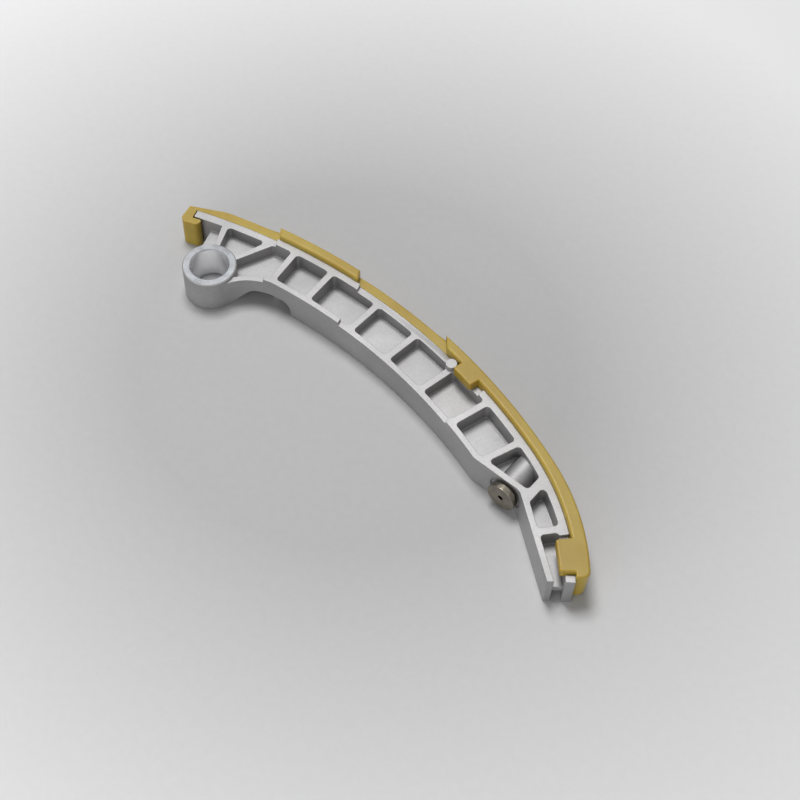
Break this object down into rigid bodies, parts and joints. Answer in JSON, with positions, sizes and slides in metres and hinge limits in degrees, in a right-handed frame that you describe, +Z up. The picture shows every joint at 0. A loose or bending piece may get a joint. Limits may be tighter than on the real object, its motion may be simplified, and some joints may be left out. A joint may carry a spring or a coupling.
{
  "type": "timing chain guide",
  "caption": "Curved pivoting timing chain guide: ribbed cast arm with a pivot boss, a clipped-on plastic wear strip on its convex side and a steel thrust button for the tensioner.",
  "frame": {"origin": "on the pivot axis, at the lower face of the pivot boss, which is the plane that the guide lies on", "axes": "+X from the pivot towards the free tip, +Y towards the chain side, +Z up along the pivot axis"},
  "size_m": [0.2096, 0.0501, 0.0162],
  "materials": {
    "cast_aluminium": "bead-blasted die casting",
    "nylon": "moulded, satin",
    "hard_steel": "ground and hardened"
  },
  "bodies": {
    "root": {"arm": "cast_aluminium", "wear_strip": "nylon", "thrust_button": "hard_steel"}
  },
  "joints": []
}
